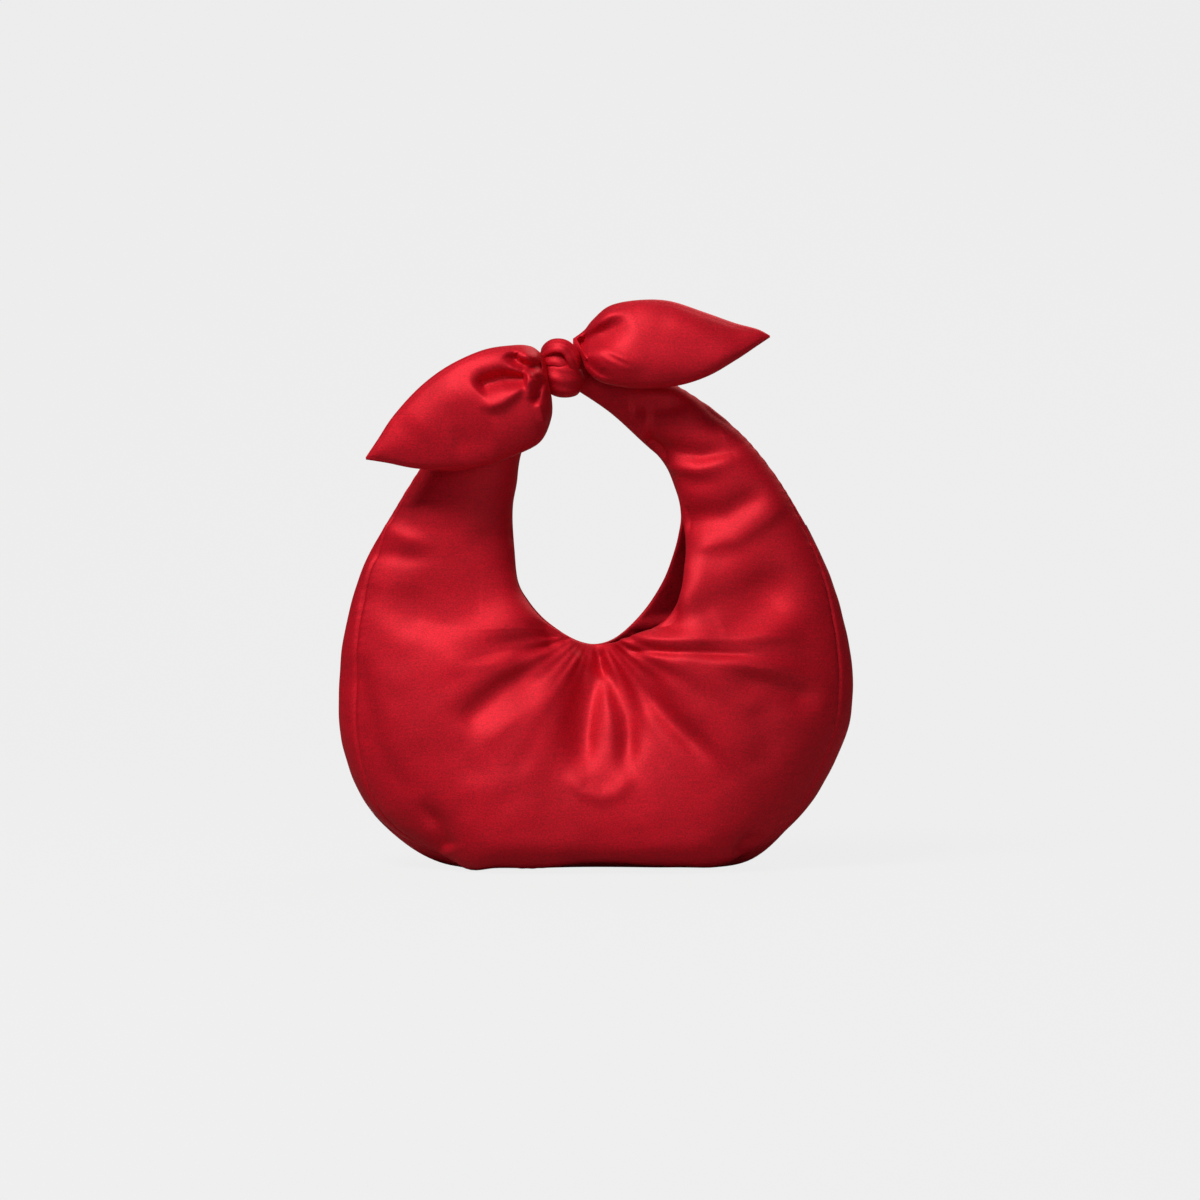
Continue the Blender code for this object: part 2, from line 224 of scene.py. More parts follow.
def baseHalfAt(s):
    start, end = body["baseEnds"]
    taper = body["baseTaper"]
    return body["baseDepth"] / 2 * smoothStep((s - start) / taper) * smoothStep((end - s) / taper)


# The power that moves the filling's fullest place down: 1 at the shoulders, where it stays in the middle
def sagAt(s):
    start, end = body["sagRibs"]
    taper = body["sagTaper"]
    return 1 + body["sag"] * smoothStep((s - start) / taper) * smoothStep((end - s) / taper)


# A point of the plain form: s counts the ribs, v goes from the front rim, 0, by the outline, 1, to the back, 2
def bodyAt(s, v):
    rib = splineAt(ribTable, s - firstRib)
    hole, outer, bulge = rib[:, :2], rib[:, 2:4].copy(), rib[:, 4]
    for place, spread, drop in body["corners"]:
        outer[:, 1] -= drop * np.exp(-(((s - place) / spread) ** 2))
    outer[:, 1] = np.maximum(outer[:, 1], 0.3 * mm)
    baseHalf = baseHalfAt(s)
    inward = outer - hole
    inward /= np.linalg.norm(inward, axis=1)[:, None]
    front = v < 1
    droop = splineAt(body["rightDroop"], np.clip(s - middleRib, 0, mouthEnd - middleRib))[:, 0]
    hole = hole + inward * (front * droop)[:, None]
    t = np.where(front, v, 2 - v)
    share = (1 - np.cos(math.pi * t)) / 2
    flat = hole + (outer - hole) * share[:, None]
    inMouth = np.where((s > 0) & (s < mouthEnd), rimGape(s), 0)
    straight = inMouth * (1 - share) + baseHalf * share
    depth = bulge * np.sin(math.pi * np.clip(t, 0, 1) ** sagAt(s))
    y = np.where(front, -1, 1) * (straight + depth)
    return np.stack((flat[:, 0], y, flat[:, 1]), axis=1)


# Where the side seam lies, as a value of v
def seamAt(s):
    start, end = body["seamRibs"]
    skew, curve = body["seamCurve"]
    across = np.clip((abs(s - middleRib) - start) / (end - start), 0, 1)
    return 1 - body["seamShift"] * np.sin(math.pi * across ** skew) ** curve


frontFolds = [
    # the pleat: a slit at its top, a wide left and a narrower right valley, and the lip round their foot
    {"line": [(1.0, 139), (2.4, 129), (5.6, 116)], "width": 2.6, "height": -4.0, "sharp": 1.8,
     "fade": (0.25, 0.6)},
    {"line": [(0.5, 137), (-0.5, 126), (-2.5, 113), (-4.5, 100), (-6, 86), (-6.5, 72), (-4.5, 54)],
     "width": (7.5, 12), "height": -7.5, "fade": (0.3, 0.35)},
    {"line": [(2.5, 135), (8, 122), (14, 109), (18.5, 98), (20, 86), (19.5, 73), (15.5, 54)], "width": (8.0, 6.5),
     "height": -6.0, "fade": (0.3, 0.35)},
    {"line": [(-20, 60), (-8, 47), (4, 43), (14, 46), (26, 60)], "width": (6, 5), "height": 1.6},
    # left of the pleat
    {"line": [(-14, 143), (-30, 148), (-46, 154)], "width": 4, "height": -2.0, "fade": (0.1, 0.5)},
    {"line": [(-16, 141), (-52, 137), (-92, 128)], "width": (5, 10), "height": -4.2, "fade": (0.15, 0.4)},
    {"line": [(-32, 126), (-58, 111), (-88, 86)], "width": (9, 9), "height": -4.4, "fade": (0.25, 0.25)},
    {"line": [(-6, 134), (-36, 99), (-69, 75.6), (-86, 70)], "width": (18, 10), "height": 3.2, "fade": (0.08, 0.3)},
    {"line": [(-22, 146), (-56, 151), (-104, 150)], "width": 9, "height": 1.2, "fade": (0.2, 0.5)},
    {"line": [(-30, 64), (-62, 50), (-100, 48)], "width": 9, "height": 1.0, "fade": (0.2, 0.4)},
    {"line": [(-153, 140), (-141, 80), (-118, 38)], "width": (8, 13), "height": -2.4},
    {"line": [(-49, 208), (-84, 206)], "width": 6, "height": -1.2, "fade": (0.05, 0.5)},
    {"line": [(-40, 152), (-72, 151), (-104, 155), (-138, 166)], "width": (12, 26), "height": -5.0,
     "fade": (0.4, 0.3)},
    {"line": [(-96, 168), (-120, 168), (-150, 171)], "width": (12, 7), "height": -0.9, "fade": (0.5, 0.1)},
    {"line": [(-98, 200), (-118, 206), (-140, 216)], "width": (6, 5), "height": 1.4, "fade": (0.5, 0.1)},
    {"line": [(-92, 194), (-118, 194), (-147, 198)], "width": 6, "height": -1.8, "fade": (0.5, 0.1)},
    {"line": [(-94, 8), (-100, 24), (-112, 44)], "width": (5, 8), "height": -4.5, "fade": (0.1, 0.5)},
    # right of it
    {"line": [(9, 138.8), (40, 141.5), (80, 143), (136, 144)], "width": (8, 4), "height": 3.8, "sharp": 1.6,
     "fade": (0.08, 0.25), "spread": 1.5},
    {"line": [(30, 148), (55, 156), (91, 171), (126, 187)], "width": (9, 11), "height": -4.8,
     "fade": (0.2, 0.3), "spread": 1.3},
    {"line": [(46, 152), (56, 166), (64, 186), (68, 204)], "width": (12, 9), "height": 2.5, "fade": (0.3, 0.4)},
    {"line": [(52, 134), (84, 146), (110, 166), (126, 192)], "width": (14, 13), "height": -5.5,
     "fade": (0.3, 0.3)},
    {"line": [(18, 134.8), (60, 134.4), (110, 133)], "width": 3, "height": -2.6, "sharp": 1.5, "fade": (0.1, 0.3)},
    {"line": [(14, 133.5), (48, 130), (90, 126), (136, 121)], "width": (4.5, 8), "height": 2.8, "sharp": 1.6,
     "fade": (0.15, 0.25), "spread": 1.4},
    {"line": [(76, 123), (112, 113), (145, 103)], "width": (7, 11), "height": -3.8, "fade": (0.35, 0.25)},
    {"line": [(24, 119), (45, 94), (78, 62)], "width": (8, 7), "height": -3.6, "fade": (0.25, 0.35)},
    {"line": [(34, 120), (58, 95), (98, 58)], "width": (13, 9), "height": 2.6, "fade": (0.2, 0.3)},
    {"line": [(100, 106), (109, 82), (104, 55)], "width": 10, "height": -1.6},
    {"line": [(56, 198), (88, 205), (123, 230)], "width": (11, 6), "height": 2.6, "fade": (0.2, 0.25)},
    {"line": [(54, 217), (80, 220), (110, 236)], "width": (8, 8), "height": -3.4, "fade": (0.05, 0.3)},
    {"line": [(28, 260.5), (44, 257.5), (64, 257), (84, 261.5), (99, 271)], "width": (9, 6), "height": -6.5,
     "fade": (0.05, 0.5)},
    {"line": [(30, 276), (60, 275), (90, 284)], "width": 12, "height": -3.0, "fade": (0.1, 0.3)},
    {"line": [(36, 251), (64, 249), (94, 257)], "width": 5, "height": 1.4, "fade": (0.2, 0.3)},
    {"line": [(38, 247), (60, 240), (84, 240)], "width": 6, "height": -1.6, "fade": (0.1, 0.4)},
    {"line": [(20, 286), (44, 288), (66, 292)], "width": 6, "height": -2.5, "fade": (0.1, 0.4)},
    {"line": [(89, 5), (95, 15), (108, 22)], "width": (5, 4), "height": -3.6, "fade": (0.1, 0.6)},
    # low down, where the front turns under
    {"line": [(-82, 14), (0, 9), (84, 14)], "width": 8, "height": 1.2},
]

backFolds = [
    {"line": [(0, 138), (-6, 118), (-14, 84)], "width": 6, "height": -6.5, "fade": (0.05, 0.5), "spread": 1.6},
    {"line": [(2, 137), (14, 112), (20, 82)], "width": 5, "height": -5.5, "fade": (0.05, 0.5), "spread": 1.6},
    {"line": [(-16, 143), (-58, 136), (-110, 132)], "width": (5, 8), "height": -3.6},
    {"line": [(-12, 138), (-50, 106), (-92, 78)], "width": (8, 10), "height": 3.4},
    {"line": [(-30, 120), (-62, 92), (-84, 60)], "width": 7, "height": -3.0},
    {"line": [(16, 146), (66, 152), (122, 170)], "width": (6, 8), "height": -3.6},
    {"line": [(14, 141), (70, 134), (128, 132)], "width": 7, "height": 3.4},
    {"line": [(26, 126), (66, 108), (116, 96)], "width": 7, "height": -3.2},
    {"line": [(30, 112), (52, 84), (80, 54)], "width": 8, "height": 2.8},
    {"line": [(34, 262), (60, 258), (92, 266)], "width": (8, 4), "height": -4.5},
    {"line": [(50, 222), (84, 224), (118, 236)], "width": 6, "height": -2.8},
    {"line": [(-50, 192), (-84, 190), (-128, 196)], "width": 6, "height": -2.6},
    {"line": [(-46, 250), (-76, 248), (-104, 252)], "width": 5, "height": -2.6},
    {"line": [(-94, 8), (-104, 40)], "width": 6, "height": -4.0, "fade": (0.1, 0.5)},
    {"line": [(94, 8), (106, 44)], "width": 6, "height": -4.0, "fade": (0.1, 0.5)},
]


# The cloth's small relief: every height and reach in metres
cloth = {
    "gathers": 0.34 * mm,
    "gatherCentre": 150,        # how high they fan out from, mm
    "gatherReach": (12, 26, 85),    # where they start, are fully there, and have faded to about a third, mm
    "foldFade": (0.07, 0.12),   # over which shares of the way folds die away at the rim and at the outline
    "swell": (0.40 * mm, 60 * mm),
    "fineSwell": (0.10 * mm, 19 * mm),
    "swellFade": 0.25,
    "seamGroove": (1.1 * mm, 1.8 * mm),
    "pucker": (0.16 * mm, 8 * mm),
    "strapGroove": (1.3 * mm, 2.2 * mm),
    "roundness": 1.5,           # the cloth's way from rim to outline over the straight one
}


# Fine gathers fanning out from where the rims are drawn together
def gathersAt(at, seed):
    rng = np.random.default_rng(seed)
    x, z = at[:, 0] / mm, at[:, 1] / mm - cloth["gatherCentre"]
    angle = np.arctan2(z, x)
    reach = np.hypot(x, z)
    total = np.zeros(len(at))
    for k in range(5):
        count, phase, drift = rng.uniform(14, 34), rng.uniform(0, 6), rng.uniform(-0.5, 0.5)
        total += np.sin(angle * count + phase + drift * np.sin(reach / 18 + phase))
    start, full, end = cloth["gatherReach"]
    fade = smoothStep((reach - start) / (full - start)) * np.exp(-((reach / end) ** 2))
    return cloth["gathers"] * total / 5 ** 0.5 * fade


# How far the cloth stands off the plain form, along its normal
def reliefAt(s, v, points):
    t = np.where(v < 1, v, 2 - v)
    height = np.where(v < 1, foldsAt(asSeen(points), frontFolds), foldsAt(points[:, [0, 2]], backFolds))
    height += gathersAt(points[:, [0, 2]], 4)
    atRim, atOutline = cloth["foldFade"]
    height *= smoothStep(t / atRim) * smoothStep((1 - t) / atOutline)
    for (rise, size), seed in ((cloth["swell"], 3), (cloth["fineSwell"], 8)):
        height += rise * unevenness(points, size, seed) * smoothStep(t / cloth["swellFade"])
    rib = splineAt(ribTable, s - firstRib)
    way = np.linalg.norm(rib[:, 2:4] - rib[:, :2], axis=1)
    reach = abs(v - seamAt(s)) * way * cloth["roundness"]
    grooveDepth, grooveWidth = cloth["seamGroove"]
    groove = np.exp(-((reach / grooveWidth) ** 1.4))
    puckerHeight, puckerReach = cloth["pucker"]
    pucker = np.sin(s * 31 + 2.2 * np.sin(s * 5.3)) * np.exp(-((reach / puckerReach) ** 2))
    pucker *= smoothStep(reach / (2 * mm))
    height += puckerHeight * pucker - grooveDepth * groove
    # the straps are sewn shut along the hole too
    tubeShare = np.where(s < 0, smoothStep(-s), smoothStep(s - mouthEnd))
    inner = np.minimum(v, 2 - v) * way * cloth["roundness"]
    grooveDepth, grooveWidth = cloth["strapGroove"]
    height -= grooveDepth * tubeShare * np.exp(-((inner / grooveWidth) ** 1.3))
    return height


def normalOf(function, s, v):
    step = 1e-3
    along = function(s + step, v) - function(s - step, v)
    low, high = np.clip(v - step, 0, 2), np.clip(v + step, 0, 2)
    # both samples stay on one side of the rims
    acrossRim = function(s, high) - function(s, low)
    normal = np.cross(acrossRim, along)
    return normal / np.maximum(np.linalg.norm(normal, axis=1), 1e-12)[:, None]


# The outer cloth
def skinAt(s, v):
    points = bodyAt(s, v)
    return points + normalOf(bodyAt, s, v) * reliefAt(s, v, points)[:, None]


# The cloth's own flat map, in metres, for the weave
def clothAt(s, v):
    rib = splineAt(ribTable, s - firstRib)
    t = np.where(v < 1, v, 2 - v)
    flat = rib[:, :2] + (rib[:, 2:4] - rib[:, :2]) * (1.25 * t)[:, None]
    return np.stack((flat[:, 0] * np.where(v < 1, 1, -1), flat[:, 1]), axis=1)


# Front and back panel: outer cloth, rolled rim and the facing behind it

panel = {
    "frontColumns": 430,
    "backColumns": 300,
    "outerRows": 150,
    "rollRows": 8,
    "facingRows": 12,
    "edge": 0.002,          # how close to the rim the outer cloth ends
    "wall": 8 * mm,
    "pleatWall": 8 * mm,    # more of it, for the pleat
    "pleatRibs": 1.3,       # how far to each side of the middle that goes
    "upright": 0.5,         # the share of the way down over which the wadding fills out
    "crowding": 1.18,       # above 1 the columns lie closer together at the pleat
    "facingTop": 0.09,      # how far below the rim the facing leaves the roll, and how far down it goes from there
    "facingDepth": 0.20,
}
panelRows = panel["outerRows"] + panel["rollRows"] + panel["facingRows"]


def panelColumn(across):
    side = 2 * across - 1
    return middleRib * (1 + np.copysign(abs(side) ** panel["crowding"], side))


# The wall's inner face: upright behind the rim, then filling out, so that the wadding is thick there
def innerAt(s, v):
    t = np.where(v < 1, v, 2 - v)
    rib = splineAt(ribTable, s - firstRib)
    plain = bodyAt(s, v)
    side = np.where(v < 1, -1, 1)
    puffed = rib[:, 4] * np.sin(math.pi * t ** sagAt(s))
    fill = np.where(t < panel["upright"], smoothStep(t / panel["upright"]) ** 1.3, np.sin(math.pi * t))
    wall = panel["wall"] + panel["pleatWall"] * np.exp(-(((s - middleRib) / panel["pleatRibs"]) ** 2)) * (v < 1)
    valleys = np.minimum(reliefAt(s, v, plain), 0)
    valleys *= smoothStep((s - 0.1) / 0.5) * smoothStep((mouthEnd - 0.1 - s) / 0.5)
    inward = normalOf(bodyAt, s, v) * valleys[:, None]
    plain[:, 1] -= side * (puffed - (rib[:, 4] - wall) * fill)
    return plain + inward


def panelPlace(front):
    edge = panel["edge"]

    def onSide(t):
        return t if front else 2 - t

    def place(across, up):
        s = np.clip(panelColumn(across), 1e-4, mouthEnd - 1e-4)
        row = up * panelRows
        seam = onSide(seamAt(s))
        outerShare = np.clip(row / panel["outerRows"], 0, 1)
        v = onSide(seam + (edge - seam) * outerShare)
        points = skinAt(s, v)
        rim = skinAt(s, onSide(np.full_like(s, edge)))
        heading = rim - skinAt(s, onSide(np.full_like(s, edge + 0.01)))
        heading /= np.linalg.norm(heading, axis=1)[:, None]
        normal = normalOf(skinAt, s, onSide(np.full_like(s, edge + 0.002)))
        radius = np.minimum(body["rimRadius"], 0.8 * rimGape(s) + 0.05 * mm)
        turn = np.clip((row - panel["outerRows"]) / panel["rollRows"], 0, 1) * math.pi / 2
        rolled = rim - normal * radius[:, None]
        rolled += radius[:, None] * (normal * np.cos(turn)[:, None] + heading * np.sin(turn)[:, None])
        points = np.where((turn > 0)[:, None], rolled, points)
        facingShare = np.clip((row - panel["outerRows"] - panel["rollRows"]) / panel["facingRows"], 0, 1)
        t = panel["facingTop"] + facingShare * panel["facingDepth"]
        inner = innerAt(s, onSide(t)) + heading * radius[:, None]
        points = np.where((facingShare > 0)[:, None], inner, points)
        v = np.where(facingShare > 0, onSide(t), v)
        return points, clothAt(s, v)

    return place


frontPanel = gridPiece("frontPanel", panel["frontColumns"], panelRows, panelPlace(True))
backPanel = gridPiece("backPanel", panel["backColumns"], panelRows, panelPlace(False), flip=True)
print("panels made")


# Straps, on the same form

weld = 0.02 * mm     # how near points are that close a seam or a pole
strapRows = 200
straps = {
    "leftStrap": {"ribs": (-4, 0), "columns": 110},
    "rightStrap": {"ribs": (mouthEnd, 21), "columns": 150},
}


def strapPlace(start, end):
    def place(across, up):
        s = start + (end - start) * across
        v = np.clip(up * 2, 1e-4, 2 - 1e-4)
        points = skinAt(s, v)
        return points, clothAt(s, v)
    return place


leftStrap, rightStrap = (gridPiece(name, strap["columns"], strapRows, strapPlace(*strap["ribs"]), merge=weld)
                         for name, strap in straps.items())
print("straps made")


# Lining and base

liningValues = {
    "columns": 120,
    "rows": 60,
    "top": 0.22,        # how far below the rims it is sewn to the facings
}


def liningPlace(across, up):
    s = np.clip(panelColumn(across), 0.02, mouthEnd - 0.02)
    v = liningValues["top"] + up * 2 * (1 - liningValues["top"])
    return innerAt(s, v), clothAt(s, v)


lining = gridPiece("liningCloth", liningValues["columns"], liningValues["rows"], liningPlace)


base = {
    "columns": 90,
    "rows": 40,
    "clear": 0.2 * mm,      # how far its lowest place is from the floor
    "flatness": 2.2,
}


def basePlace(across, up):
    start, end = body["baseEnds"]
    s = start + (end - start) * across
    rib = splineAt(ribTable, s - firstRib)
    y = baseHalfAt(s) * (2 * up - 1)
    edge = bodyAt(s, np.ones_like(s))[:, 2]
    sag = smoothStep(baseHalfAt(s) / (body["baseDepth"] * 0.4)) * (1 - abs(2 * up - 1) ** base["flatness"])
    z = edge - (edge - base["clear"]) * sag
    return np.stack((rib[:, 2], y, z), axis=1), np.stack((rib[:, 2], y), axis=1)


basePanel = gridPiece("basePanel", base["columns"], base["rows"], basePlace, flip=True)
print("lining and base made")


# Tails

leafGrid = (200, 220)
leafCloth = {
    "swell": (0.35 * mm, 26 * mm),
    "seam": (0.22 * mm, 2.2 * mm, 0.9 * mm),    # depth, how far in from the edge, and half width
    "crown": 0.95,                              # below 1 the leaf is flatter with fuller edges
}


def leafPlace(leaf):
    upper = np.array(leaf["upper"], float) * mm
    lower = np.array(leaf["lower"], float) * mm
    thick = np.array(leaf["thick"], float)[:, None] * mm
    forward = np.array(leaf["forward"], float)[:, None] * mm

    def place(across, up):
        reach = across * (len(upper) - 1)
        top, bottom = splineAt(upper, reach), splineAt(lower, reach)
        w = np.clip(up * 2, 0, 2)
        front = w < 1
        t = np.where(front, w, 2 - w)
        share = (1 - np.cos(math.pi * t)) / 2
        seen = top + (bottom - top) * share[:, None]
        lens = np.sin(math.pi * np.clip(t, 0, 1)) ** leafCloth["crown"]
        half = splineAt(thick, across * (len(thick) - 1))[:, 0] / 2
        middle = splineAt(forward, across * (len(forward) - 1))[:, 0]
        middle -= leaf["tilt"] * mm * (share - 0.5) * smoothStep(across / 0.2) * smoothStep((1 - across) / 0.3)
        relief = np.where(front, foldsAt(seen, leaf["folds"]), foldsAt(seen, leaf["backFolds"]))
        edge = np.minimum(share, 1 - share) * np.linalg.norm(bottom - top, axis=1)
        relief = relief * smoothStep(edge / (5 * mm))
        seamDepth, seamInset, seamWidth = leafCloth["seam"]
        relief -= seamDepth * np.exp(-(((edge - seamInset) / seamWidth) ** 2))
        rise, size = leafCloth["swell"]
        flatPlace = np.stack((seen[:, 0], 0 * share, seen[:, 1]), axis=1)
        relief += rise * unevenness(flatPlace, size, leaf["seed"]) * smoothStep(edge / (8 * mm))
        off = half * lens + relief + 0.35 * mm * smoothStep(t / 0.02)
        y = middle + np.where(front, -off, off)
        # the photograph's outlines, carried out to the leaf's own distance from the camera
        scale = (y - cameraPlace.y) / -cameraPlace.y
        x = cameraPlace.x + (seen[:, 0] - cameraPlace.x) * scale
        z = cameraPlace.z + (seen[:, 1] - cameraPlace.z) * scale
        return np.stack((x, y, z), axis=1), seen
    return place


leftLeaf = {
    # from inside the knot to the tip, in mm: the upper and the lower edge as the photograph shows them, how
    # thick the leaf is and how far it stands forward (-) there
    "upper": [(-30, 316), (-35, 322), (-41, 325.5), (-51, 326), (-70, 323), (-92, 313), (-110, 299.5), (-126, 282),
              (-136, 267), (-143.4, 256)],
    "lower": [(-29, 300), (-27, 292), (-27.5, 280), (-34, 266), (-48, 258), (-68, 250.5), (-88, 247.6), (-112, 249),
              (-130, 252.5), (-143.2, 254.6)],
    "thick": [14, 24, 31, 33, 32, 29, 24, 17, 9, 2],
    "forward": [-12, -22, -31, -36, -38, -38, -37, -36, -35, -34],
    "tilt": 4,
    "seed": 5,
    "folds": [
        # the upper pocket, the ridge under it, the deep pocket and the rim round that one
        {"line": [(-33, 313.5), (-41, 312), (-48, 315), (-52.3, 319), (-53.5, 323)],
         "width": (3.2, 2.8), "height": -7, "fade": (0.05, 0.25), "spread": 1.2},
        {"line": [(-35, 319), (-42, 319), (-46, 323)], "width": 2.6, "height": 1.8, "fade": (0.1, 0.4)},
        {"line": [(-33, 311), (-41, 308.3), (-51, 311.5), (-56, 316)], "width": 3, "height": 2.4,
         "fade": (0.05, 0.4)},
        {"line": [(-42, 304.6), (-50, 304.6), (-58, 305), (-68, 302), (-74, 296.5)],
         "width": (4.4, 5.2), "height": -9.5, "fade": (0.1, 0.2), "spread": 1.25},
        {"line": [(-37, 307), (-44.6, 301.5), (-51, 295.3), (-58, 290), (-65, 287.8), (-75, 290)],
         "width": (3.2, 5.5), "height": 3.4, "fade": (0.05, 0.3)},
        # beside the knot
        {"line": [(-31.5, 306), (-35.3, 298), (-38.6, 287)], "width": (2.2, 3.2), "height": -4.6,
         "fade": (0.1, 0.4)},
        {"line": [(-37.5, 305), (-41, 297), (-44, 290)], "width": 3, "height": 2.0, "fade": (0.1, 0.5)},
        {"line": [(-35.5, 292), (-33, 283), (-31.5, 275)], "width": 2.8, "height": 2.6},
        {"line": [(-60, 270), (-92, 264)], "width": 10, "height": -2.4},
        {"line": [(-78, 306), (-96, 292), (-118, 270)], "width": 12, "height": 1.4},
    ],
    "backFolds": [
        {"line": [(-34, 312), (-56, 308), (-78, 310)], "width": 5, "height": -5},
        {"line": [(-34, 300), (-54, 288), (-72, 280)], "width": 6, "height": -5},
    ],
}

rightLeaf = {
    "upper": [(-14, 330), (-7, 335.3), (-1.5, 342), (9, 350.5), (26, 354), (46, 353.5), (68, 346.5), (87, 339.8),
              (101, 336), (108.8, 332)],
    "lower": [(-14, 321), (-8.6, 317), (-4.5, 309), (5, 302.4), (26, 298.9), (50, 300.4), (70, 306.5), (88, 316.8),
              (101, 325.5), (108.9, 330.8)],
    "thick": [12, 18, 25, 30, 31, 29, 25, 18, 9, 2],
    "forward": [-8, -12, -17, -21, -23, -23, -23, -22, -21, -20],
    "tilt": 14,             # how far the lower edge stands in front of the upper one
    "seed": 12,
    "folds": [
        # the valley under the upper lobe, the lobe's own edge, the lower lobe with its crease
        {"line": [(-10, 326), (0.6, 331.5), (9.6, 335.5), (25, 340.5)], "width": (5.2, 6.5), "height": -9,
         "fade": (0.03, 0.6), "spread": 1.4},
        {"line": [(-11, 331), (-3, 338), (9, 345), (26, 348)], "width": 4, "height": 2.4, "fade": (0.05, 0.4)},
        {"line": [(-9, 323), (4, 321), (20, 315), (34, 311)], "width": (5, 7), "height": 3.0, "fade": (0.05, 0.4)},
        {"line": [(3, 323), (9.6, 318.8), (18.5, 314.4), (27, 312.3)], "width": 1.8, "height": -1.0,
         "fade": (0.3, 0.5)},
        {"line": [(40, 344), (66, 336), (92, 334)], "width": 8, "height": 1.0},
        {"line": [(-7, 317), (2, 309), (14, 304)], "width": 3, "height": -2.0, "fade": (0.1, 0.5)},
    ],
    "backFolds": [
        {"line": [(-8, 322), (12, 332), (30, 336)], "width": 5, "height": -5},
        {"line": [(-8, 314), (14, 312), (36, 310)], "width": 5, "height": -4},
    ],
}

leftTail = gridPiece("leftTail", *leafGrid, leafPlace(leftLeaf), merge=weld)
rightTail = gridPiece("rightTail", *leafGrid, leafPlace(rightLeaf), merge=weld)
print("tails made")


# Knot: one turn of strap drawn over another, round a core

bandGrid = (60, 48)
bandCloth = {
    "flatness": 0.7,        # below 1 the band is flatter
    "ripple": 0.05,
    "wrinkles": 9,          # across its width
}


def bandPlace(band):
    line = np.array(band["line"], float) * mm
    wide = np.array(band["wide"], float)[:, None] * mm
    thick = np.array(band["thick"], float)[:, None] * mm
    out = np.array(band["out"], float)

    def place(across, up):
        reach = across * (len(line) - 1)
        centre = splineAt(line, reach)
        ahead = splineAt(line, np.clip(reach + 0.02, 0, len(line) - 1))
        behind = splineAt(line, np.clip(reach - 0.02, 0, len(line) - 1))
        heading = ahead - behind
        heading /= np.linalg.norm(heading, axis=1)[:, None]
        outward = splineAt(out, across * (len(out) - 1))
        outward -= heading * np.sum(outward * heading, axis=1)[:, None]
        outward /= np.linalg.norm(outward, axis=1)[:, None]
        side = np.cross(heading, outward)
        angle = up * 2 * math.pi
        ends = np.sqrt(np.clip(1 - (2 * across - 1) ** 8, 0, 1))
        halfWide = splineAt(wide, across * (len(wide) - 1))[:, 0] / 2 * ends
        halfThick = splineAt(thick, across * (len(thick) - 1))[:, 0] / 2 * ends
        wrinkles = np.sin(bandCloth["wrinkles"] * np.cos(angle) + 5 * across)
        ripple = 1 + bandCloth["ripple"] * (np.sin(3 * angle + 9 * across) + wrinkles)
        flattened = np.copysign(abs(np.sin(angle)) ** bandCloth["flatness"], np.sin(angle))
        points = centre + side * (halfWide * np.cos(angle))[:, None]
        points += outward * (halfThick * flattened * ripple)[:, None]
        return points, np.stack((across * 0.05, up * 0.04), axis=1)
    return place


# Each band's middle line, width and thickness along it, and the way that it faces, in mm
knotBands = {
    # over the top, from behind on the left, down the right side
    "over": {
        "line": [(-32, 4, 317), (-32.4, -8, 320), (-29.2, -17, 323.6), (-24.6, -21, 325.2), (-19.6, -22.5, 324.6),
                 (-15.9, -22.5, 321.6), (-13.6, -22, 317), (-12.6, -19, 311.5), (-11.5, -12, 306)],
        "wide": [10, 11, 11.5, 11, 10.5, 10, 10, 9, 8],
        "thick": [4, 4.5, 4.5, 4.5, 4.5, 4.5, 4.5, 4.5, 4],
        "out": [(-1, -0.4, 0.3), (-0.8, -0.8, 0.5), (-0.3, -1, 0.75), (0.1, -1, 0.7), (0.4, -1, 0.4),
                (0.6, -1, 0.1), (0.8, -0.8, -0.2)],
    },
    "under": {
        "line": [(-32, 0, 315), (-31.6, -12, 316.2), (-28.4, -18, 317.6), (-24, -20.5, 317.4), (-19.6, -21, 315.2),
                 (-16, -19, 311.5), (-13.4, -15, 307.6)],
        "wide": [8, 10, 11, 11, 10.5, 9, 8],
        "thick": [4, 4.5, 4.5, 4.5, 4.5, 4.5, 4],
        "out": [(-0.8, -0.7, 0.3), (-0.4, -1, 0.4), (0.1, -1, 0.4), (0.4, -1, 0.2)],
    },
    "core": {
        "line": [(-31, -4, 314), (-20, -7, 311.5), (-4, 1, 310.5)],
        "wide": [13, 24, 19],
        "thick": [14, 26, 10],
        "out": [(0, -1, 0), (0, -1, 0)],
    },
    "ball": {
        "line": [(-31, -6, 309), (-27.5, -14, 307), (-21, -17, 304.4), (-14, -13, 303.4), (-11, -2, 305)],
        "wide": [13, 19, 22, 19, 13],
        "thick": [9, 13, 16, 13, 9],
        "out": [(-0.6, -1, 0.0), (0, -1, -0.2), (0.4, -1, -0.2)],
    },
}
knotWrap, *otherBands = (gridPiece("knot" + name, *bandGrid, bandPlace(band), merge=weld)
                         for name, band in knotBands.items())
bm = bmesh.new()
bm.from_mesh(knotWrap.data)
for part in otherBands:
    bm.from_mesh(part.data)
    bpy.data.objects.remove(part, do_unlink=True)
bm.to_mesh(knotWrap.data)
bm.free()
knotWrap.data.shade_smooth()
knotWrap.name = "knotWrap"
print("knot made")


# Materials

